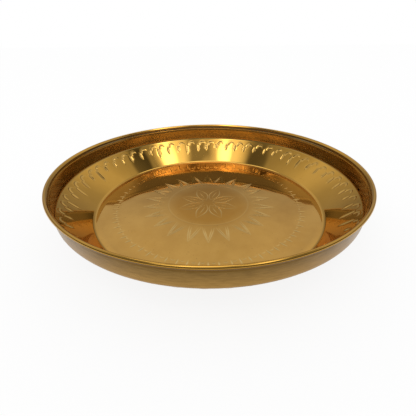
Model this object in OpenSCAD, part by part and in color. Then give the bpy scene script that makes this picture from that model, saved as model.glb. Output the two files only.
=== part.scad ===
// Thali plate: a round brass dish with a wide flat floor, a steep flank and an upright wall.
// One sheet makes the whole dish. Its edge flares and is rolled outward round a wire.
// Z is up, the axis of the dish is Z, and the flat underside rests on z = 0.

/* [Plate] */
// Diameter over the rolled edge
plate_d = 305; // [200:1:420]
// Height of the rolled edge's top above the table
plate_h = 50; // [42:0.5:60]
// Thickness of the brass sheet
sheet = 0.8; // [0.6:0.1:1.1]

/* [Flank and wall] */
// Height of the wall, from the roll's top down to where the lines of wall and flank meet
wall_h = 20; // [14:0.5:30]
// Lean of the wall outward from upright, in degrees
wall_lean = 2; // [1:1:12]
// Slope of the flank above level, in degrees
flank_angle = 47; // [36:1:56]
// Inside radius of the bend between flank and wall
wall_bend_r = 3; // [1:0.5:12]
// Inside radius of the bend between floor and flank
floor_bend_r = 5; // [1:0.5:20]

/* [Rolled edge] */
// Thickness of the round rolled edge
roll_d = 2.9; // [2.8:0.1:4.5]
// How far the rolled edge stands out from the wall
flare_w = 0.8; // [0.6:0.1:2.5]
// Lean of the flare under the roll outward from upright, in degrees
flare_lean = 40; // [30:1:50]
// Radius of the bend between wall and flare, on the inner face
flare_bend_r = 1.8; // [1.4:0.1:2.4]
// Gap between the lip of the roll and the flare under it
seam = 0.3; // [0.1:0.05:0.6]
// Clearance round the wire inside the roll
wire_clearance = 0.05; // [0.02:0.01:0.15]

/* [Hidden] */
$fn = 96;
// Straight pieces that stand for each bend in the section, and for the roll
bend_steps = 16;
roll_steps = 32;
full_turn = 360;
brass = "goldenrod";
iron = "dimgray";

roll_r = roll_d / 2;
roll_centre = [plate_d / 2 - roll_r, plate_h - roll_r];

// Directions in the section are [radius, height]. A face's normal points into the dish.
flare_normal = [-cos(flare_lean), sin(flare_lean)];
wall_normal = [-cos(wall_lean), sin(wall_lean)];
flank_normal = [-sin(flank_angle), cos(flank_angle)];
floor_normal = [0, 1];

// The flare's inner face is tangent to the roll and comes down to the wall. The wall comes down
// to the knee, where the flank starts. The flank's line meets the floor's at the floor's edge.
flare_top = roll_centre + roll_r * flare_normal;
flare_x = plate_d / 2 - roll_d - flare_w;
flare_foot = [flare_x, flare_top[1] - (flare_top[0] - flare_x) / tan(flare_lean)];
knee_z = plate_h - wall_h;
knee = [flare_x - (flare_foot[1] - knee_z) * tan(wall_lean), knee_z];
floor_edge = [knee[0] - (knee_z - sheet) / tan(flank_angle), sheet];

// The direction of a normal as an angle from the level
function heading(n) = atan2(n[1], n[0]);

// The roll turns on under itself until its lip is a seam's width from the flare's outer face.
lip_turn = heading(flare_normal) - full_turn + acos((roll_r - sheet - seam) / roll_r);

// Points of a bend that rounds the corner between two faces with radius r, set in below the
// inner face by depth. The bend's centre lies inside the dish at side 1, and outside at -1.
function bend(corner, n_from, n_to, r, depth, side = 1) =
    let (
        middle = (n_from + n_to) / norm(n_from + n_to),
        centre = corner + side * middle * r / (middle * n_from)
    )
    round_points(centre, -side * r - depth, heading(n_from), heading(n_to), bend_steps);

// Points of a round about a centre, from one angle to another
function round_points(centre, r, from, to, steps) = [
    for (i = [0 : steps])
        let (a = from + (to - from) * i / steps)
        centre + r * [cos(a), sin(a)]
];

// The sheet's face from the axis to the roll: the inner face at depth 0, the outer at sheet
function face_points(depth) = concat(
    [[0, sheet - depth]],
    bend(floor_edge, floor_normal, flank_normal, floor_bend_r, depth),
    bend(knee, flank_normal, wall_normal, wall_bend_r, depth),
    bend(flare_foot, wall_normal, flare_normal, flare_bend_r, depth, side = -1)
);

// The roll's face from the flare over the top, down the outside and back to the lip
function roll_points(r) = round_points(roll_centre, r, heading(flare_normal), lip_turn, roll_steps);

function reversed(points) = [for (i = [len(points) - 1 : -1 : 0]) points[i]];

// The whole sheet: along its inner face to the lip, and back along its outer face
module sheet_section() {
    inner = concat(face_points(0), roll_points(roll_r));
    outer = concat(face_points(sheet), roll_points(roll_r - sheet));
    polygon(concat(inner, reversed(outer)));
}

module dish() {
    color(brass)
        rotate_extrude()
            sheet_section();
}

module rim_wire() {
    color(iron)
        rotate_extrude()
            translate(roll_centre)
                circle(roll_r - sheet - wire_clearance);
}

dish();
rim_wire();
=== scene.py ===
import math

import bpy
import numpy as np
from mathutils import Matrix, Vector


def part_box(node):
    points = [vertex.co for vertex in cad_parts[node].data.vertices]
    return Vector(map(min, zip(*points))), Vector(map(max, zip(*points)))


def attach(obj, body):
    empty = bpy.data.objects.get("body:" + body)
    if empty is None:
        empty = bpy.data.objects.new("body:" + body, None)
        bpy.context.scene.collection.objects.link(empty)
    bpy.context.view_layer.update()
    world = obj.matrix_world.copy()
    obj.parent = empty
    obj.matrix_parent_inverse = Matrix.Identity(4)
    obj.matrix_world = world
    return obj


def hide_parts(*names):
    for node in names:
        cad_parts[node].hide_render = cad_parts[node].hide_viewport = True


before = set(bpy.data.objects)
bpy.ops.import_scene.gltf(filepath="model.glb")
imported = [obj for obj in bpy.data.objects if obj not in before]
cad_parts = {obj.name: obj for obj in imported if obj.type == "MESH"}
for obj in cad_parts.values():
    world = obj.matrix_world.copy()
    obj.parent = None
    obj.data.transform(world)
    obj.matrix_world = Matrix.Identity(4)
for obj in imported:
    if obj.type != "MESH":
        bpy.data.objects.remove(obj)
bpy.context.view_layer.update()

# A beaten brass thali plate. Its section is the CAD section, turned into one fine closed mesh.
# The patterns are pressed into that mesh, in a plane that the dish's inner face unrolls to:
# s is the distance from the axis along the face, and an angle of 0 is the back, +Y.

MM = 0.001
random = np.random.default_rng(7)

# Sizes of the section, as in the part's source
dish_low, dish_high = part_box("dish")
PLATE_D = dish_high[0] - dish_low[0]
PLATE_H = dish_high[2] - dish_low[2]
SHEET = 0.8 * MM
WALL_H = 20.0 * MM
WALL_LEAN = math.radians(2)
FLANK_ANGLE = math.radians(47)
WALL_BEND_R = 3.0 * MM
FLOOR_BEND_R = 5.0 * MM
ROLL_D = 2.9 * MM
FLARE_W = 0.8 * MM
FLARE_LEAN = math.radians(40)
FLARE_BEND_R = 1.8 * MM
SEAM = 0.3 * MM

ROLL_R = ROLL_D / 2
ROLL_CENTRE = np.array([PLATE_D / 2 - ROLL_R, PLATE_H - ROLL_R])


def heading(a):
    """The direction in the section, [radius, height], at an angle from the level"""
    return np.array([math.cos(a), math.sin(a)])


# Turns of the inner face's normal in the section, and the section's corners
FLOOR_TURN = math.pi / 2
FLANK_TURN = math.pi / 2 + FLANK_ANGLE
WALL_TURN = math.pi - WALL_LEAN
FLARE_TURN = math.pi - FLARE_LEAN
LIP_TURN = FLARE_TURN - 2 * math.pi + math.acos((ROLL_R - SHEET - SEAM) / ROLL_R)
FLARE_TOP = ROLL_CENTRE + ROLL_R * heading(FLARE_TURN)
FLARE_X = PLATE_D / 2 - ROLL_D - FLARE_W
FLARE_Z = FLARE_TOP[1] - (FLARE_TOP[0] - FLARE_X) / math.tan(FLARE_LEAN)
FLARE_FOOT = np.array([FLARE_X, FLARE_Z])
KNEE_Z = PLATE_H - WALL_H
KNEE = np.array([FLARE_X - (FLARE_Z - KNEE_Z) * math.tan(WALL_LEAN), KNEE_Z])
FLOOR_EDGE = np.array([KNEE[0] - (KNEE_Z - SHEET) / math.tan(FLANK_ANGLE), SHEET])

# Spacing of the rings of the mesh. The wall's lowest part takes them twice as far apart as FINE,
# and the outer face takes one ring in so many of the inner face's.
FINE = 0.65 * MM
COARSE = 2.2 * MM
ARC_STEP = 0.3 * MM
AROUND = 1120
WALL_LOWEST = 9 * MM
OUTER_EVERY = 2
OUTER_FLOOR_EVERY = 10
SHARP_FROM = math.radians(50)

# The floor's patterns lie a little off the axis, and PATTERN_MARGIN is how far fine rings reach
# beyond them
PATTERN_BACK = 2.4 * MM
PATTERN_LEFT = 0.8 * MM
PATTERN_MARGIN = PATTERN_BACK + 1.5 * MM
FLOOR_CENTRE = (-PATTERN_LEFT, PATTERN_BACK)

# The patterns: distances from the axis along the inner face, counts and sizes
ROSETTE = (6.0 * MM, 34.0 * MM)
ROSETTE_LEAVES = 8
LEAF_HALF = 5.6 * MM
LEAF_POWER = 0.85
VEIN_SHORTER = (4 * MM, 7 * MM)
RING_AT = 44.5 * MM
PETALS = (49.0 * MM, 71.5 * MM)
PETAL_COUNT = 22
PETAL_HALF = 5.6 * MM
PETAL_POWER = 1.35
BORDER = (97.0 * MM, 104.0 * MM)
BORDER_COUNT = 70
CRESCENT_SHARE = 0.55
CRESCENT_AT = 1.2 * MM
CRESCENT_RISE = 1.4 * MM
FLUTE_COUNT = 60
FLUTE_START = math.radians(-1)
FLUTE_SHIFT = -1.6 * MM
FLUTE_BELOW_KNEE = 4.6 * MM
STROKE_BELOW_ARCH = 5.4 * MM
STROKE_LENGTH = 9.5 * MM
LONG_STROKE_SHARE = 0.14
LONG_STROKE_ADDS = 6.0 * MM
ARCH_HALF = 4.4 * MM

# The two outlines of a petal: width and length as shares of the petal, and where it starts
PETAL_OUTLINES = [(1.0, 1.0, 0.0), (0.62, 0.84, 1.5 * MM)]

# An arch from foot to foot: across in halves of the arch, and outward in millimetres
ARCH = np.array([
    [-1.0, -5.0], [-0.9, -2.6], [-0.55, -0.7], [0.0, 0.0], [0.5, -0.6], [0.8, -2.0], [0.9, -3.4],
])

# Grooves: half width, depth, and the shares of both that are left at the two ends
LEAF_GROOVE = (0.50 * MM, 0.13 * MM, (0.5, 0.3))
VEIN_GROOVE = (0.45 * MM, 0.10 * MM, (0.3, 0.2))
RING_GROOVE = (0.60 * MM, 0.04 * MM, (1.0, 1.0))
PETAL_GROOVE = (0.48 * MM, 0.14 * MM, (0.35, 0.6))
DASH_GROOVE = (0.55 * MM, 0.18 * MM, (0.3, 0.6))
CRESCENT_GROOVE = (0.45 * MM, 0.11 * MM, (0.3, 0.3))
ARCH_GROOVE = (0.80 * MM, 0.42 * MM, (0.9, 0.3))
STROKE_HALF = 1.00 * MM
STROKE_DEPTH = 0.50 * MM
STROKE_ENDS = (0.8, 0.15)

# Unevenness of the beaten sheet: count of waves, shortest and longest, and height
SWAY = (9, (45 * MM, 95 * MM), 0.055 * MM)
DENTS = (16, (16 * MM, 30 * MM), 0.020 * MM)
FLANK_EVENNESS = 0.55
FADE_TO_ROLL = 6 * MM
PRESSED_THROUGH = 0.6

# A bead with a hollow over it, inside under the rolled edge: distance below the flare's foot,
# half width and height
BEAD = [(3.4 * MM, 1.0 * MM, 0.22 * MM), (1.2 * MM, 0.8 * MM, -0.16 * MM)]

# The floor bows up a little towards its edge, as its mirror image of the rim shows. Each pair is
# a distance from the axis in millimetres and the floor's slope there in degrees. The lift fades
# out up the flank, and is gone this far before the knee.
BOW = [(62, 0), (84, 1.0), (100, 2.0), (109, 4.0), (117, 7.0)]
BOW_GONE = 1.2 * MM

# Depth of a groove and height of its shoulder that count as fully carved and fully raised
FULLY_CARVED = 0.4 * MM
FULLY_RAISED = 0.08 * MM

# Painted shade: a dark tone low on the roll, full below the first angle and gone above the
# second, and on the outer face close under the roll, none below the first height and full above
# the second
ROLL_SHADE = np.radians([4, 20])
UNDER_ROLL = PLATE_H - ROLL_D - np.array([3.8 * MM, 2.9 * MM])


def arc_turns(r, start, end, step):
    """Angles along an arc, both ends in, no further apart than step"""
    count = max(2, math.ceil(abs((end - start) * r) / step))
    return np.linspace(start, end, count + 1)


def bend_centre(corner, turn_from, turn_to, r):
    """Centre of the bend that rounds a corner between two faces, with r below zero where the
    centre lies outside the dish"""
    middle = heading(turn_from) + heading(turn_to)
    middle /= np.linalg.norm(middle)
    return corner + middle * r / (middle @ heading(turn_from))


def spaced(start, end, step):
    """Distances from start up to end, end left out"""
    count = max(1, math.ceil((end - start) / step - 1e-6))
    return np.linspace(start, end, count, endpoint=False)


def stations():
    """Points of the inner face from the axis to the roll, and the turn of the face's normal"""
    floor_centre = bend_centre(FLOOR_EDGE, FLOOR_TURN, FLANK_TURN, FLOOR_BEND_R)
    wall_centre = bend_centre(KNEE, FLANK_TURN, WALL_TURN, WALL_BEND_R)
    flare_centre = bend_centre(FLARE_FOOT, WALL_TURN, FLARE_TURN, -FLARE_BEND_R)
    points, turns = [], []

    def straight(start, end, turn, bands):
        length = np.linalg.norm(end - start)
        for low, high, step in bands:
            for d in spaced(low, min(high, length), step):
                points.append(start + (end - start) * d / length)
                turns.append(turn)

    def bent(centre, r, turn_from, turn_to, step):
        for a in arc_turns(r, turn_from, turn_to, step)[:-1]:
            points.append(centre - r * heading(a))
            turns.append(a)

    floor_end = floor_centre - FLOOR_BEND_R * heading(FLOOR_TURN)
    flank_start = floor_centre - FLOOR_BEND_R * heading(FLANK_TURN)
    flank_end = wall_centre - WALL_BEND_R * heading(FLANK_TURN)
    wall_start = wall_centre - WALL_BEND_R * heading(WALL_TURN)
    wall_end = flare_centre + FLARE_BEND_R * heading(WALL_TURN)
    flare_start = flare_centre + FLARE_BEND_R * heading(FLARE_TURN)
    rosette_end = ROSETTE[1] + PATTERN_MARGIN
    ring_start = RING_AT - PATTERN_MARGIN
    straight(np.array([0, SHEET]), floor_end, FLOOR_TURN, [
        (FINE, rosette_end, FINE),
        (rosette_end, ring_start, COARSE),
        (max(rosette_end, ring_start), PETALS[1] + PATTERN_MARGIN, FINE),
        (PETALS[1] + PATTERN_MARGIN, BORDER[0] - PATTERN_MARGIN, COARSE),
        (BORDER[0] - PATTERN_MARGIN, BORDER[1] + PATTERN_MARGIN, FINE),
        (BORDER[1] + PATTERN_MARGIN, math.inf, COARSE),
    ])
    bent(floor_centre, FLOOR_BEND_R, FLOOR_TURN, FLANK_TURN, FINE / 2)
    straight(flank_start, flank_end, FLANK_TURN, [(0, math.inf, FINE)])
    bent(wall_centre, WALL_BEND_R, FLANK_TURN, WALL_TURN, ARC_STEP)
    straight(wall_start, wall_end, WALL_TURN, [
        (0, WALL_LOWEST, 2 * FINE),
        (WALL_LOWEST, math.inf, FINE),
    ])
    bent(flare_centre, -FLARE_BEND_R, WALL_TURN, FLARE_TURN, ARC_STEP)
    straight(flare_start, FLARE_TOP, FLARE_TURN, [(0, math.inf, FINE)])
    points.append(FLARE_TOP)
    turns.append(FLARE_TURN)
    return np.array(points), np.array(turns)


FACE, FACE_TURNS = stations()
FACE_NORMALS = np.c_[np.cos(FACE_TURNS), np.sin(FACE_TURNS)]
FACE_S = np.cumsum(np.linalg.norm(np.diff(FACE, axis=0, prepend=[[0, SHEET]]), axis=1))
ON_FLOOR = FACE_TURNS == FLOOR_TURN
KNEE_S = FLOOR_EDGE[0] + np.linalg.norm(KNEE - FLOOR_EDGE)
ANGLES = np.arange(AROUND) * 2 * math.pi / AROUND


class Relief:
    """The pressed pattern, as heights above the plain inner face at each ring and angle"""

    # In half widths of the groove: where the metal is plain again, and the raised shoulder's
    # middle and half width. Then the shoulder's height as a share of the groove's depth.
    REACH = 3.2
    SHOULDER_AT = 1.9
    SHOULDER_HALF = 0.8
    SHOULDER = 0.22
    # A groove narrows and flattens over this share of its length at each end, and keeps at least
    # this share of its width
    TAPER = 0.4
    NARROWEST = 0.15

    def __init__(self):
        shape = (len(FACE_S), AROUND)
        self.cut = np.zeros(shape)
        self.lift = np.zeros(shape)

    def columns_near(self, path, reach):
        """The angles that a path comes near to, as columns of the mesh"""
        nearest_s = np.hypot(path[:, 0], path[:, 1]).min()
        if nearest_s < 3 * reach:
            return np.arange(AROUND)
        middle = math.atan2(path[:, 0].mean(), path[:, 1].mean())
        turn = np.arctan2(path[:, 0], path[:, 1]) - middle
        turn = (turn + math.pi) % (2 * math.pi) - math.pi
        low = middle + turn.min() - reach / nearest_s
        high = middle + turn.max() + reach / nearest_s
        pitch = 2 * math.pi / AROUND
        return np.arange(math.floor(low / pitch), math.ceil(high / pitch) + 1) % AROUND

    def strike(self, path, half_width, depth, ends):
        """Presses a groove along path, points [across, towards the back] of the unrolled plane.

        ends are the shares of the half width and depth that are left at the two ends."""
        reach = self.REACH * half_width
        s = np.hypot(path[:, 0], path[:, 1])
        rows = np.flatnonzero((FACE_S > s.min() - reach) & (FACE_S < s.max() + reach))
        columns = self.columns_near(path, reach)
        x = FACE_S[rows, None] * np.sin(ANGLES[columns])
        y = FACE_S[rows, None] * np.cos(ANGLES[columns])
        nearest = np.full(x.shape, math.inf)
        along = np.zeros(x.shape)
        steps = np.linalg.norm(np.diff(path, axis=0), axis=1)
        done = 0.0
        for start, end, step in zip(path[:-1], path[1:], steps):
            run_x, run_y = end - start
            t = np.clip(((x - start[0]) * run_x + (y - start[1]) * run_y) / step ** 2, 0, 1)
            gap = np.hypot(x - start[0] - t * run_x, y - start[1] - t * run_y)
            closer = gap < nearest
            nearest[closer] = gap[closer]
            along[closer] = (done + t[closer] * step) / steps.sum()
            done += step
        size = ends[0] + (1 - ends[0]) * np.clip(along / self.TAPER, 0, 1)
        size *= ends[1] + (1 - ends[1]) * np.clip((1 - along) / self.TAPER, 0, 1)
        local = half_width * np.maximum(size, self.NARROWEST)
        groove = depth * size * np.exp(-(nearest / local) ** 2)
        off_shoulder = (nearest - self.SHOULDER_AT * local) / (self.SHOULDER_HALF * local)
        ridge = self.SHOULDER * depth * size * np.exp(-off_shoulder ** 2)
        window = np.ix_(rows, columns)
        self.cut[window] = np.maximum(self.cut[window], groove)
        self.lift[window] = np.maximum(self.lift[window], ridge)


def placed(points, angle, offset=(0.0, 0.0)):
    """Points [across, outward] turned to an angle about the axis, then moved by an offset"""
    points = np.asarray(points)
    c, s = math.cos(angle), math.sin(angle)
    turned = np.c_[points[:, 0] * c + points[:, 1] * s, points[:, 1] * c - points[:, 0] * s]
    return turned + np.asarray(offset)


def leaf_side(inner, outer, half, power=1.0, count=14):
    """One side of a leaf that is pointed at both ends"""
    t = np.linspace(0, 1, count)
    return np.c_[half * np.sin(math.pi * t ** power), inner + (outer - inner) * t]


def wobble(amount):
    """How far a mark made by hand strays: a random number from -amount to amount"""
    return amount * (2 * random.random() - 1)


def press_rosette(relief):
    """Pointed leaves, each with a mid-vein"""
    for k in range(ROSETTE_LEAVES):
        turn = 2 * math.pi * (k + 0.5) / ROSETTE_LEAVES + wobble(0.02)
        inner = ROSETTE[0] + wobble(0.6 * MM)
        outer = ROSETTE[1] + wobble(0.9 * MM)
        half = LEAF_HALF + wobble(0.4 * MM)
        for side in (-1, 1):
            path = leaf_side(inner, outer, side * half, LEAF_POWER)
            relief.strike(placed(path, turn, FLOOR_CENTRE), *LEAF_GROOVE)
        sideways = wobble(0.5 * MM)
        vein = leaf_side(inner + VEIN_SHORTER[0], outer - VEIN_SHORTER[1], sideways, count=5)
        relief.strike(placed(vein, turn, FLOOR_CENTRE), *VEIN_GROOVE)


def press_ring(relief):
    """A faint ring round the rosette"""
    t = np.linspace(0, 2 * math.pi, num=97)
    ring = RING_AT * np.c_[np.sin(t), np.cos(t)] + np.array(FLOOR_CENTRE)
    relief.strike(ring, *RING_GROOVE)


def press_petals(relief):
    """Petals of two outlines each, with their points outward"""
    t = np.linspace(0, 1, num=9)
    for k in range(PETAL_COUNT):
        turn = 2 * math.pi * k / PETAL_COUNT + wobble(0.025)
        inner, outer = PETALS
        outer += wobble(1.2 * MM)
        for width, length, start in PETAL_OUTLINES:
            tip = inner + (outer - inner) * length
            for side in (-1, 1):
                across = side * width * PETAL_HALF * (1 - t ** PETAL_POWER) + wobble(0.25 * MM)
                path = np.c_[across, inner + start + (tip - inner - start) * t]
                relief.strike(placed(path, turn, FLOOR_CENTRE), *PETAL_GROOVE)


def press_border(relief):
    """Short dashes with a small crescent between each two"""
    half_pitch = math.pi * BORDER[0] / BORDER_COUNT
    t = np.linspace(-1, 1, num=6)
    for k in range(BORDER_COUNT):
        turn = 2 * math.pi * (k + wobble(0.1)) / BORDER_COUNT
        inner = BORDER[0] + wobble(0.6 * MM)
        outer = BORDER[1] + wobble(0.6 * MM)
        dash = [[wobble(0.3 * MM), inner], [wobble(0.3 * MM), outer]]
        relief.strike(placed(dash, turn, FLOOR_CENTRE), *DASH_GROOVE)
        outward = inner + CRESCENT_AT + CRESCENT_RISE * (1 - t ** 2)
        crescent = np.c_[CRESCENT_SHARE * half_pitch * t, outward]
        between = turn + math.pi / BORDER_COUNT
        relief.strike(placed(crescent, between, FLOOR_CENTRE), *CRESCENT_GROOVE)


def press_flutes(relief):
    """A row of arches punched round the flank, and a stroke inward between each two"""
    for k in range(FLUTE_COUNT):
        turn = FLUTE_START + 2 * math.pi * (k + wobble(0.10)) / FLUTE_COUNT
        top = KNEE_S - FLUTE_BELOW_KNEE + FLUTE_SHIFT * math.cos(turn)
        length = STROKE_LENGTH + wobble(1.8 * MM)
        if random.random() < LONG_STROKE_SHARE:
            length += LONG_STROKE_ADDS
        start = top - STROKE_BELOW_ARCH + wobble(0.5 * MM)
        sideways = wobble(0.6 * MM)
        stroke = [[0.4 * MM, start], [sideways, start - length / 2], [0, start - length]]
        half_width = STROKE_HALF + wobble(0.15 * MM)
        relief.strike(placed(stroke, turn), half_width, STROKE_DEPTH, STROKE_ENDS)
        arch_half = ARCH_HALF + wobble(0.4 * MM)
        arch = np.c_[ARCH[:, 0] * arch_half, top + wobble(0.4 * MM) + ARCH[:, 1] * MM]
        relief.strike(placed(arch, turn + math.pi / FLUTE_COUNT), *ARCH_GROOVE)


relief = Relief()
press_rosette(relief)
press_ring(relief)
press_petals(relief)
press_border(relief)
press_flutes(relief)


def waves(x, y, z, count, lengths, height):
    """Sum of sine waves with seeded directions, about height high"""
    total = np.zeros(x.shape)
    for _ in range(count):
        direction = random.normal(size=3)
        direction /= np.linalg.norm(direction)
        length = random.uniform(*lengths)
        phase = random.uniform(0, 2 * math.pi)
        reach = direction[0] * x + direction[1] * y + direction[2] * z
        total += np.sin(2 * math.pi * reach / length + phase) * length / lengths[1]
    return total * height / math.sqrt(count)


def bead_lift(z):
    """How far the bead and its hollow stand out of the wall at each height"""
    return sum(lift * np.exp(-((z - FLARE_Z + below) / half) ** 2) for below, half, lift in BEAD)


def bow_lift():
    """How far the bow lifts each ring of the inner face"""
    at = [s * MM for s, _ in BOW]
    gone = KNEE_S - BOW_GONE
    tilt = np.interp(FACE_S, at, [math.radians(slope) for _, slope in BOW])
    lift = np.cumsum(np.tan(tilt) * np.diff(FACE_S, prepend=0))
    lift = np.minimum(lift, np.interp(at[-1], FACE_S, lift))
    return lift * np.clip((gone - FACE_S) / (gone - at[-1]), 0, 1)


def roll_face(r):
    """The roll's face at radius r from the flare's top over to the lip"""
    turns = arc_turns(r, FLARE_TURN, LIP_TURN, ARC_STEP)
    return np.array([ROLL_CENTRE + r * heading(a) for a in turns])


def add_object(name, data):
    made = bpy.data.objects.new(name, data)
    bpy.context.scene.collection.objects.link(made)
    return made


def add_ring_mesh(name, rings, offsets):
    """A closed mesh of revolution: rings are [radius, height] from pole to pole, and offsets
    move each ring's points along [radius, height] at each angle."""
    radius = rings[:, 0, None] + offsets[..., 0]
    height = np.maximum(rings[:, 1, None] + offsets[..., 1], 0)
    points = np.empty((len(rings), AROUND, 3))
    points[..., 0] = radius * np.sin(ANGLES)
    points[..., 1] = radius * np.cos(ANGLES)
    points[..., 2] = height
    poles = np.array([[0, 0, height[0].mean()], [0, 0, height[-1].mean()]])
    index = np.arange(len(rings) * AROUND).reshape(len(rings), AROUND)
    ahead = np.roll(index, -1, axis=1)
    quads = np.stack([index[:-1], ahead[:-1], ahead[1:], index[1:]], axis=-1).reshape(-1, 4)
    first, last = index.size, index.size + 1
    fans = [(first, b, a) for a, b in zip(index[0], ahead[0])]
    fans += [(last, a, b) for a, b in zip(index[-1], ahead[-1])]
    mesh = bpy.data.meshes.new(name)
    vertices = np.concatenate([points.reshape(-1, 3), poles])
    mesh.from_pydata(vertices.tolist(), [], quads[:, ::-1].tolist() + fans)
    mesh.validate()
    mesh.shade_smooth()
    mesh.set_sharp_from_angle(angle=SHARP_FROM)
    return add_object(name, mesh)


def set_attribute(piece, name, counts, values):
    """A number at each vertex of a ring mesh: one value, or one for each ring and angle, for
    each run of rings. The poles take the mean of the ring beside them."""
    runs = [np.broadcast_to(value, (count, AROUND)) for value, count in zip(values, counts)]
    poles = [runs[0][0].mean(), runs[-1][-1].mean()]
    flat = np.concatenate([*(run.ravel() for run in runs), poles])
    layer = piece.data.attributes.new(name, "FLOAT", "POINT")
    layer.data.foreach_set("value", flat.astype(np.float32))


# The rings of the mesh, from the axis out over the roll and back along the outer face. The outer
# face keeps only some of the inner face's rings, and leaves the last of them to the roll.
roll = np.concatenate([roll_face(ROLL_R)[1:], roll_face(ROLL_R - SHEET)[::-2]])
on_outer_floor = np.flatnonzero(ON_FLOOR)[::OUTER_FLOOR_EVERY]
on_outer_side = np.flatnonzero(~ON_FLOOR)[::OUTER_EVERY]
keep = np.concatenate([on_outer_floor, on_outer_side])
keep = keep[keep < len(FACE) - 1]
outer_face = (FACE - SHEET * FACE_NORMALS)[keep][::-1]
rings = np.concatenate([FACE, roll, outer_face])

# What is pressed and beaten into the sheet, as offsets of those rings
face_x = FACE[:, 0, None] * np.sin(ANGLES)
face_y = FACE[:, 0, None] * np.cos(ANGLES)
face_z = np.broadcast_to(FACE[:, 1, None], face_x.shape)
fade_to_roll = np.clip((FLARE_Z - FACE[:, 1]) / FADE_TO_ROLL, 0, 1)[:, None]
evenness = np.where(ON_FLOOR, 1.0, FLANK_EVENNESS)[:, None]
sway = waves(face_x, face_y, face_z, *SWAY)
dents = waves(face_x, face_y, face_z, *DENTS)
surface = (sway + dents) * evenness * fade_to_roll + bead_lift(FACE[:, 1])[:, None]
pattern = relief.lift - relief.cut
through = np.where(ON_FLOOR[:, None], 0.0, PRESSED_THROUGH * pattern + surface)
bow = np.zeros((len(FACE), 1, 2))
bow[:, 0, 1] = bow_lift()
inner_offsets = (surface + pattern)[..., None] * FACE_NORMALS[:, None, :] + bow
outer_offsets = (through[..., None] * FACE_NORMALS[:, None, :] + bow)[keep][::-1]
still = np.zeros((len(roll), AROUND, 2))
dish = add_ring_mesh("dish_brass", rings, np.concatenate([inner_offsets, still, outer_offsets]))


# Where each vertex lies, for the material
off_centre = roll - ROLL_CENTRE
roll_turns = np.arctan2(off_centre[:, 1], off_centre[:, 0])
roll_shade = np.interp(roll_turns, ROLL_SHADE, [1, 0])[:, None]
outer_shade = np.interp(outer_face[:, 1], UNDER_ROLL, [0, 1])[:, None]
carved = np.clip(relief.cut / FULLY_CARVED, 0, 1)
raised = np.clip(relief.lift / FULLY_RAISED, 0, 1)
counts = (len(FACE), len(roll), len(outer_face))
set_attribute(dish, "shaded", counts, (0, roll_shade, outer_shade))
set_attribute(dish, "carved", counts, (carved, 0, 0))
set_attribute(dish, "raised", counts, (raised, 0, 0))
set_attribute(dish, "outside", counts, (0, 0, 1))
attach(dish, "root")
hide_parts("dish")


class Graph:
    """Short calls that add nodes to a node tree"""

    def __init__(self, tree):
        self.tree = tree
        tree.nodes.clear()

    def node(self, kind, inputs=None, **settings):
        made = self.tree.nodes.new(kind)
        for name, value in settings.items():
            setattr(made, name, value)
        for key, value in (inputs or {}).items():
            if isinstance(value, bpy.types.NodeSocket):
                self.tree.links.new(value, made.inputs[key])
            else:
                made.inputs[key].default_value = value
        return made

    def math(self, operation, a, b=0.0, clamp=False):
        made = self.node("ShaderNodeMath", {0: a, 1: b}, operation=operation, use_clamp=clamp)
        return made.outputs[0]

    def times(self, a, b, clamp=False):
        return self.math("MULTIPLY", a, b, clamp)

    def plus(self, a, b, clamp=False):
        return self.math("ADD", a, b, clamp)

    def mix(self, share, a, b):
        """Colour a, or b where share is 1"""
        made = self.node("ShaderNodeMix", {0: share, 6: a, 7: b}, data_type="RGBA")
        return made.outputs[2]

    def noise(self, vector, scale, detail=3.0, roughness=0.5):
        inputs = {"Vector": vector, "Scale": scale, "Detail": detail, "Roughness": roughness}
        return self.node("ShaderNodeTexNoise", inputs).outputs["Fac"]

    def span(self, value, low, high, new_low=0.0, new_high=1.0):
        inputs = {0: value, 1: low, 2: high, 3: new_low, 4: new_high}
        return self.node("ShaderNodeMapRange", inputs).outputs[0]

    def joined(self, x, y, z):
        return self.node("ShaderNodeCombineXYZ", {0: x, 1: y, 2: z}).outputs[0]

    def attribute(self, name):
        return self.node("ShaderNodeAttribute", attribute_name=name).outputs["Fac"]


def new_material(name):
    material = bpy.data.materials.new(name)
    material.use_nodes = True
    return material, Graph(material.node_tree)


def finish_metal(g, tone, rough, bump):
    """The metal shader of a material, with its tone, roughness and bump node"""
    shader = g.node("ShaderNodeBsdfPrincipled", {
        "Base Color": tone, "Metallic": 1.0, "Roughness": rough, "Normal": bump.outputs[0],
    })
    g.node("ShaderNodeOutputMaterial", {0: shader.outputs[0]})


# Tones of the inner face
BRASS_LIGHT = (0.745, 0.425, 0.105, 1)
BRASS_DEEP = (0.605, 0.325, 0.073, 1)
BRASS_ROSETTE = (0.60, 0.285, 0.038, 1)
BRASS_FLANK = (0.70, 0.375, 0.050, 1)
BRASS_PATCHES = (0.66, 0.355, 0.070, 1)
BRASS_WALL = (0.66, 0.51, 0.25, 1)
# Cut lines: partly the bright cut's own tone and partly a painted glint
CARVED_TONE = (0.95, 0.71, 0.30, 1)
RAISED_TONE = (0.86, 0.58, 0.20, 1)
PITS_TONE = (0.30, 0.17, 0.05, 1)

# Painted shade low on the roll, and tones of the outer face, where each pair is mixed in streaks
SHADED_TONE = (0.16, 0.080, 0.014, 1)
# The top's tones are partly the outside's own tarnish and partly a painted reflection of the
# shadowed table beside the dish
OUTER_TOP = ((0.215, 0.127, 0.037, 1), (0.145, 0.084, 0.023, 1))
OUTER_LOW = ((0.42, 0.238, 0.063, 1), (0.33, 0.186, 0.048, 1))
# A lighter orange at the foot: a painted reflection of the bend there
FOOT_REFLECTION_TONE = (0.44, 0.250, 0.065, 1)

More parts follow.
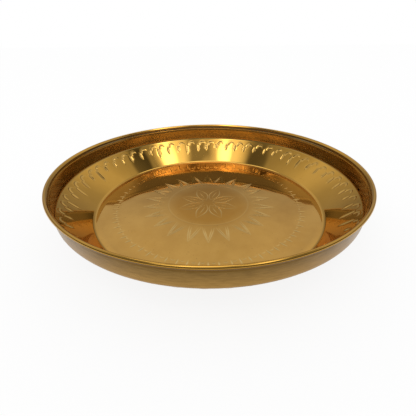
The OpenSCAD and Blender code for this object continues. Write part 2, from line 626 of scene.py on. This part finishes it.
# Bands under the rolled edge, on the inner face: painted shade over the hollow, then a painted
# highlight over the bead. Each is from, to and tone
WALL_SHADE_AND_HIGHLIGHT = [
    (FLARE_Z - 2.4 * MM, FLARE_Z + 0.2 * MM, (0.40, 0.26, 0.10, 1)),
    (FLARE_Z - 5.0 * MM, FLARE_Z - 2.6 * MM, (0.98, 0.74, 0.36, 1)),
]
BAND_EDGE = 0.5 * MM

# Where tones change: radii or heights where a change is none and where it is full
ROSETTE_FADE = (48 * MM, 34 * MM)
FLANK_FADE = (118 * MM, 123 * MM)
FLOOR_LINES_FADE = (108 * MM, 114 * MM)
WALL_FADE = (KNEE_Z - 1 * MM, KNEE_Z + 3 * MM)
FLARE_FADE = (FLARE_Z + 0.3 * MM, FLARE_Z - 0.3 * MM)
OUTER_FADE = (45 * MM, 31 * MM)
FOOT_REFLECTION_FADE = (6 * MM, 2 * MM)

# How far lines are lightened, on the floor and beyond it, and how much of the other tones shows
LINES_LIGHTER = (1.6, 0.25)
ROSETTE_SHARE = 0.8
FLANK_SHARE = 0.5
PATCHES_SHARE = 0.4
RAISED_SHARE = 0.20
PITS_SHARE = 0.35

# The buffing wheel's fine lines: how many noise units a metre, and how far they drift
BUFFING = 1900.0
BUFFING_DRIFT = 5.0
STREAK_STRETCH = 9.0

# Roughness from and to, what cut metal and the wall add to it, strengths of the bump, and the
# share of the grain in it
INNER_ROUGH = (0.035, 0.08)
OUTER_ROUGH = (0.24, 0.36)
CUT_ROUGHER = 0.08
WALL_ROUGHER = 0.08
INNER_BUMP = 0.03
OUTER_BUMP = 0.35
GRAIN_SHARE = 0.5
BUMP_DISTANCE = 0.02 * MM

# The wire's iron and the scale on it
IRON_TONE = (0.20, 0.19, 0.18, 1)
IRON_SCALE_TONE = (0.11, 0.075, 0.05, 1)
IRON_ROUGH = (0.38, 0.62)
IRON_BUMP = 0.3
IRON_BUMP_DISTANCE = 0.05 * MM


def inner_tone(g, z, radius, cloud, patches, on_wall, outside):
    """Tone of the polished inner face: darker in the rosette, paler on the wall, with bands"""
    tone = g.mix(g.span(cloud, 0.35, 0.7), BRASS_LIGHT, BRASS_DEEP)
    tone = g.mix(g.span(radius, *ROSETTE_FADE, 0.0, ROSETTE_SHARE), tone, BRASS_ROSETTE)
    tone = g.mix(g.span(radius, *FLANK_FADE, 0.0, FLANK_SHARE), tone, BRASS_FLANK)
    tone = g.mix(g.span(patches, 0.54, 0.76, 0.0, PATCHES_SHARE), tone, BRASS_PATCHES)
    tone = g.mix(on_wall, tone, BRASS_WALL)
    # Painted shade over the hollow and a painted highlight over the bead, under the roll
    inside = g.math("SUBTRACT", 1.0, outside)
    for low, high, band in WALL_SHADE_AND_HIGHLIGHT:
        above = g.span(z, low, low + BAND_EDGE)
        below = g.span(z, high, high - BAND_EDGE)
        tone = g.mix(g.times(g.times(above, below), inside), tone, band)
    return tone


def outer_tone(g, x, y, z):
    """Tone of the dull outer face: level streaks, its top darkened by tarnish and painted
    reflection
    """
    stretched = g.joined(x, y, g.times(z, STREAK_STRETCH))
    streaks = g.noise(stretched, scale=110.0, detail=4.0, roughness=0.6)
    streaky = g.span(streaks, 0.34, 0.66)
    top = g.mix(streaky, *OUTER_TOP)
    low = g.mix(streaky, *OUTER_LOW)
    tone = g.mix(g.span(z, *OUTER_FADE), top, low)
    # Painted reflection of the bend at the foot
    return g.mix(g.span(z, *FOOT_REFLECTION_FADE), tone, FOOT_REFLECTION_TONE)


def polished_brass():
    material, g = new_material("polished_brass")
    place = g.node("ShaderNodeTexCoord").outputs["Object"]
    x, y, z = g.node("ShaderNodeSeparateXYZ", {0: place}).outputs
    level = g.joined(x, y, 0.0)
    radius = g.node("ShaderNodeVectorMath", {0: level}, operation="LENGTH").outputs["Value"]
    carved = g.attribute("carved")
    raised = g.attribute("raised")
    outside = g.attribute("outside")
    shaded = g.attribute("shaded")
    on_wall = g.times(g.span(z, *WALL_FADE), g.span(z, *FLARE_FADE))

    # Fine lines round the dish from the buffing wheel, broken up by a slow noise
    drift = g.noise(place, scale=28.0, detail=2.0)
    line_at = g.plus(g.times(radius, BUFFING), g.times(drift, BUFFING_DRIFT))
    lines = g.noise(g.joined(line_at, 0.0, g.times(z, BUFFING)), scale=1.0, detail=2.0)
    patches = g.noise(place, scale=46.0, detail=4.0, roughness=0.6)
    cloud = g.noise(place, scale=17.0, detail=5.0, roughness=0.62)
    grain = g.noise(place, scale=900.0, detail=2.0)
    pits = g.span(g.noise(place, scale=520.0, detail=1.0), 0.70, 0.78)

    # Cut metal is lighter, most of all on the floor, and so are the raised shoulders beside it.
    # On cut metal that is partly the bright cut's own tone and partly a painted glint.
    tone = inner_tone(g, z, radius, cloud, patches, on_wall, outside)
    tone = g.mix(outside, tone, outer_tone(g, x, y, z))
    # Painted shade low on the roll and on the outer face just under it
    tone = g.mix(shaded, tone, SHADED_TONE)
    lighter = g.span(radius, *FLOOR_LINES_FADE, *LINES_LIGHTER)
    tone = g.mix(g.times(carved, lighter, clamp=True), tone, CARVED_TONE)
    tone = g.mix(g.times(raised, RAISED_SHARE), tone, RAISED_TONE)
    tone = g.mix(g.times(pits, PITS_SHARE), tone, PITS_TONE)

    # Cut metal and the wall are a little rougher than the floor, and the outer face is dull
    inner_rough = g.span(patches, 0.3, 0.75, *INNER_ROUGH)
    inner_rough = g.plus(inner_rough, g.times(carved, CUT_ROUGHER))
    inner_rough = g.plus(inner_rough, g.times(on_wall, WALL_ROUGHER))
    outer_rough = g.span(cloud, 0.3, 0.7, *OUTER_ROUGH)
    spread = g.math("SUBTRACT", outer_rough, inner_rough)
    rough = g.plus(inner_rough, g.times(spread, outside))

    # The lines show as a bump, strongest on the outer face, and not on the wall's inner face
    height = g.plus(lines, g.times(g.times(grain, outside), GRAIN_SHARE))
    outer_strength = g.times(outside, OUTER_BUMP)
    inner_strength = g.span(on_wall, 0.0, 1.0, INNER_BUMP, 0.0)
    strength = g.math("MAXIMUM", outer_strength, inner_strength)
    inputs = {"Strength": strength, "Distance": BUMP_DISTANCE, "Height": height}
    finish_metal(g, tone, rough, g.node("ShaderNodeBump", inputs))
    return material


def dark_iron():
    material, g = new_material("dark_iron")
    place = g.node("ShaderNodeTexCoord").outputs["Object"]
    scale = g.noise(place, scale=380.0, detail=5.0, roughness=0.65)
    tone = g.mix(g.span(scale, 0.35, 0.7), IRON_TONE, IRON_SCALE_TONE)
    rough = g.span(scale, 0.3, 0.7, *IRON_ROUGH)
    inputs = {"Strength": IRON_BUMP, "Distance": IRON_BUMP_DISTANCE, "Height": scale}
    bump = g.node("ShaderNodeBump", inputs)
    finish_metal(g, tone, rough, bump)
    return material


dish.data.materials.append(polished_brass())
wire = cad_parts["rim_wire"]
if not wire.data.materials:
    wire.data.materials.append(None)
for slot in wire.material_slots:
    slot.material = dark_iron()


# The studio
WHITE = (1, 1, 1, 1)
FLOOR_TONE = (0.94, 0.94, 0.94, 1)
FLOOR_SIZE = 40.0
FLOOR_GAP = 0.1 * MM

# How much of the floor that is seen is a plain white glow. The rest takes the light and shadow.
FLOOR_GLOW = 0.86

TENT_R = 1.6
TENT_RINGS = 24
TENT_SIDES = 64

# The tent's light by height, at the back and at the front: pairs of the height as a share of the
# tent's radius and the brightness there. From the middle forward it changes from the one to the
# other, and FRONT_FROM is where that ends, along Y in the same share.
BACK_LIGHT = [
    (0.0, 0.24), (0.40, 0.31), (0.46, 0.35), (0.56, 0.52), (0.67, 0.64), (0.78, 0.48),
    (0.88, 0.36), (0.970, 0.34), (0.985, 1.2),
]
FRONT_LIGHT = [
    (0.0, 0.10), (0.45, 0.13), (0.53, 0.24), (0.78, 0.22), (0.90, 0.33), (0.970, 0.34),
    (0.985, 1.2),
]
FRONT_FROM = -0.20

# Round patches in it: direction, angles in degrees where a patch is full and where it ends, and
# what it adds
PATCHES = [
    ((0.355, -0.15, 0.923), (2, 12.5), 1.3),
    ((0.39, -0.122, 0.912), (0, 6.5), 2.6),
    ((-0.215, -0.24, 0.945), (0, 13), 1.2),
    ((-0.168, -0.25, 0.953), (0, 5.5), 2.8),
    ((0.562, 0.13, 0.817), (4.5, 7.5), -0.31),
    ((-0.475, -0.06, 0.878), (4, 8), -0.22),
    ((0.0, 0.36, 0.93), (4, 13), 1.8),
    ((0.31, 0.32, 0.895), (3, 8), 1.5),
    ((-0.31, 0.32, 0.895), (3, 8), 1.5),
    ((0.0, -0.41, 0.912), (3, 9), 0.6),
    ((0.33, -0.37, 0.87), (3, 9), 1.0),
    ((-0.33, -0.37, 0.87), (3, 9), 1.0),
    ((0.50, 0.80, 0.40), (8, 30), 0.12),
    ((-0.50, 0.80, 0.40), (8, 30), 0.12),
]

KEY_PLACE = (-0.7, -0.5, 1.5)
KEY_SIZE = 0.9
KEY_BRIGHTNESS = 0.6

# The camera, from a fit to the photograph's ellipses: its distance and angle over the level from
# a point near the rim's centre, and how it is turned there
CAMERA_PIVOT = Vector((-1.15 * MM, 0, 41.8 * MM))
CAMERA_FAR = 284.1 * MM
CAMERA_UP = math.radians(23.40)
CAMERA_DOWN = math.radians(31.48)
CAMERA_ROLL = math.radians(-0.50)
CAMERA_SENSOR = 36.0
CAMERA_LENS = 23.315
CAMERA_NEAREST = 0.01


def add_white_world():
    world = bpy.data.worlds.new("studio")
    bpy.context.scene.world = world
    world.use_nodes = True
    g = Graph(world.node_tree)
    white = g.node("ShaderNodeBackground", {"Color": WHITE, "Strength": 1.0})
    g.node("ShaderNodeOutputWorld", {0: white.outputs[0]})


def seen_directly(g):
    """1 for rays from the camera and those that metal or glass sends on, 0 for the others"""
    path = g.node("ShaderNodeLightPath")
    first = g.plus(path.outputs["Is Camera Ray"], path.outputs["Is Glossy Ray"])
    return g.plus(first, path.outputs["Is Transmission Ray"], clamp=True)


def pale_floor():
    """Near white with a soft shadow, and clear from below, so that the underside can be seen"""
    material, g = new_material("pale_floor")
    matt = g.node("ShaderNodeBsdfDiffuse", {"Color": FLOOR_TONE})
    glow = g.node("ShaderNodeEmission", {"Color": WHITE, "Strength": 1.0})
    share = g.times(seen_directly(g), FLOOR_GLOW)
    pale = g.node("ShaderNodeMixShader", {0: share, 1: matt.outputs[0], 2: glow.outputs[0]})
    clear = g.node("ShaderNodeBsdfTransparent")
    below = g.node("ShaderNodeNewGeometry").outputs["Backfacing"]
    shown = g.node("ShaderNodeMixShader", {0: below, 1: pale.outputs[0], 2: clear.outputs[0]})
    g.node("ShaderNodeOutputMaterial", {0: shown.outputs[0]})
    return material


def add_floor():
    half = FLOOR_SIZE / 2
    corners = [(-half, -half, 0), (half, -half, 0), (half, half, 0), (-half, half, 0)]
    mesh = bpy.data.meshes.new("floor")
    mesh.from_pydata(corners, [], [(0, 1, 2, 3)])
    mesh.materials.append(pale_floor())
    floor = add_object("floor", mesh)
    floor.location.z = -FLOOR_GAP
    return floor


def light_by_height(g, height, light):
    """A ramp through pairs of [height, brightness]"""
    ramp = g.node("ShaderNodeValToRGB", {0: height})
    stops = ramp.color_ramp.elements
    while len(stops) < len(light):
        stops.new(0.5)
    for stop, (at, value) in zip(stops, light):
        stop.position = at
        stop.color = (value, value, value, 1)
    return ramp.outputs[0]


def tent_cloth():
    """Cloth that glows by height and by the patches"""
    material, g = new_material("tent_cloth")
    place = g.node("ShaderNodeTexCoord").outputs["Object"]
    toward = g.node("ShaderNodeVectorMath", {0: place}, operation="NORMALIZE").outputs[0]
    _, y, z = g.node("ShaderNodeSeparateXYZ", {0: toward}).outputs
    at_front = g.span(y, 0.0, FRONT_FROM)
    light = g.mix(at_front, light_by_height(g, z, BACK_LIGHT), light_by_height(g, z, FRONT_LIGHT))
    for direction, angles, adds in PATCHES:
        full, end = (math.cos(math.radians(angle)) for angle in angles)
        middle = Vector(direction).normalized()
        near = g.node("ShaderNodeVectorMath", {0: toward, 1: middle}, operation="DOT_PRODUCT")
        inputs = {0: near.outputs["Value"], 1: end, 2: full, 4: adds}
        patch = g.node("ShaderNodeMapRange", inputs, interpolation_type="SMOOTHSTEP")
        light = g.plus(light, patch.outputs[0])
    cloth = g.node("ShaderNodeEmission", {"Color": WHITE, "Strength": light})
    g.node("ShaderNodeOutputMaterial", {0: cloth.outputs[0]})
    material.cycles.emission_sampling = "NONE"
    return material


def tent_mesh():
    """Half a sphere of rings, closed by a small flat face at the top"""
    points = []
    for j in range(TENT_RINGS):
        up = math.pi / 2 * j / TENT_RINGS
        for i in range(TENT_SIDES):
            a = 2 * math.pi * i / TENT_SIDES
            out = TENT_R * math.cos(up)
            points.append((out * math.cos(a), out * math.sin(a), TENT_R * math.sin(up)))
    faces = []
    for j in range(TENT_RINGS - 1):
        low, high = j * TENT_SIDES, (j + 1) * TENT_SIDES
        for i in range(TENT_SIDES):
            n = (i + 1) % TENT_SIDES
            faces.append((low + i, high + i, high + n, low + n))
    last = (TENT_RINGS - 1) * TENT_SIDES
    faces.append(tuple(last + i for i in range(TENT_SIDES))[::-1])
    mesh = bpy.data.meshes.new("tent")
    mesh.from_pydata(points, [], faces)
    return mesh


def add_tent():
    """A tent of glowing cloth over the table, which shows only in the metal"""
    mesh = tent_mesh()
    mesh.materials.append(tent_cloth())
    tent = add_object("tent", mesh)
    tent.visible_camera = False
    tent.visible_diffuse = False
    tent.visible_transmission = False
    tent.visible_shadow = False
    return tent


def add_key_lamp():
    """A square lamp that faces the dish and doesn't show in the metal. Its brightness is what a
    mirror would show."""
    data = bpy.data.lights.new("key", "AREA")
    data.size = KEY_SIZE
    data.energy = KEY_BRIGHTNESS * math.pi * KEY_SIZE ** 2
    lamp = add_object("key", data)
    lamp.location = KEY_PLACE
    lamp.rotation_mode = "QUATERNION"
    lamp.rotation_quaternion = Vector(KEY_PLACE).to_track_quat("Z", "Y")
    lamp.visible_camera = False
    lamp.visible_glossy = False


def add_camera():
    data = bpy.data.cameras.new("camera")
    data.sensor_width = CAMERA_SENSOR
    data.lens = CAMERA_LENS
    data.clip_start = CAMERA_NEAREST
    camera = add_object("camera", data)
    away = Vector((0, -math.cos(CAMERA_UP), math.sin(CAMERA_UP)))
    move = Matrix.Translation(CAMERA_PIVOT + CAMERA_FAR * away)
    pitch = Matrix.Rotation(math.pi / 2 - CAMERA_DOWN, 4, "X")
    camera.matrix_world = move @ pitch @ Matrix.Rotation(CAMERA_ROLL, 4, "Z")
    bpy.context.scene.camera = camera


add_white_world()
floor = add_floor()
tent = add_tent()
add_key_lamp()
add_camera()
bpy.context.scene.view_settings.view_transform = "Standard"
